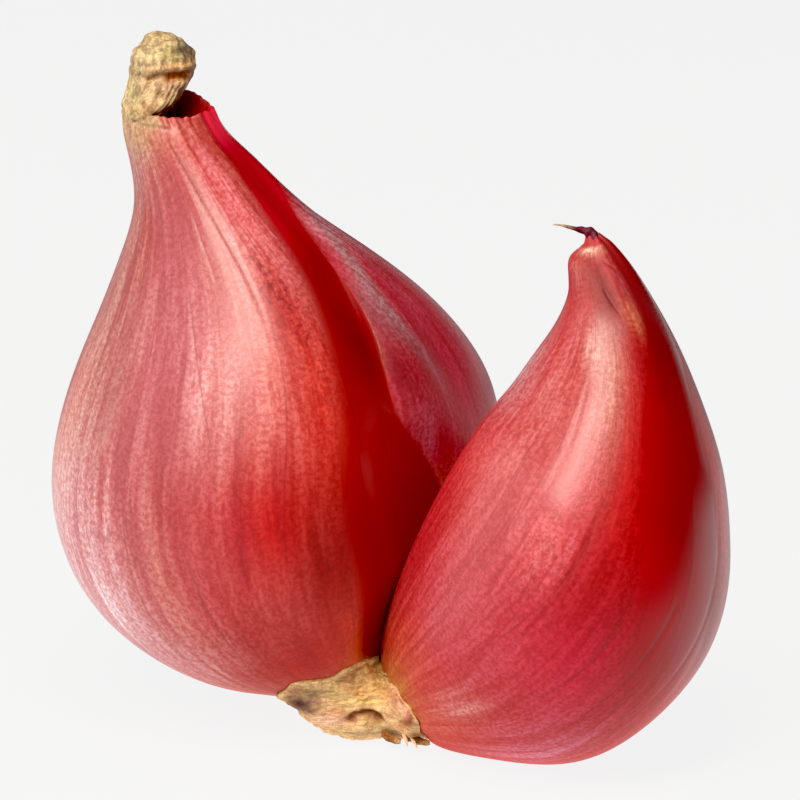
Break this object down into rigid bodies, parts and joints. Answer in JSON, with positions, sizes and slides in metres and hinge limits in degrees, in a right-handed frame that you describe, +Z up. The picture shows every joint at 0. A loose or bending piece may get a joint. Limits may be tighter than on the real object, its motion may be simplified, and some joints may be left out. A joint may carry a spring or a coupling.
{
  "type": "pink shallot",
  "caption": "Double pink shallot: a tall bulb with a torn dried neck and a smaller curved bulb grown from one corky root plate.",
  "frame": {"origin": "middle of the flat trimmed face under the root plate", "axes": "+Z up through the plate and the bulbs, +X from the large bulb towards the small one, +Y towards the back"},
  "size_m": [0.061, 0.0511, 0.0649],
  "materials": {
    "large_bulb_skin": "satin",
    "small_bulb_skin": "satin",
    "corky_plate": "matte",
    "straw_neck": "matte",
    "papery_wisp": "matte",
    "papery_flap": "matte",
    "dried_root": "matte"
  },
  "bodies": {
    "root": {"large_bulb": "large_bulb_skin", "small_bulb": "small_bulb_skin", "root_plate": "corky_plate", "dried_neck": "straw_neck", "tip_wisp": "papery_wisp", "base_skin_flap": "papery_flap", "root_stub_1": "dried_root", "root_stub_2": "dried_root", "root_stub_3": "dried_root", "root_stub_4": "dried_root", "root_stub_5": "dried_root"}
  },
  "joints": []
}
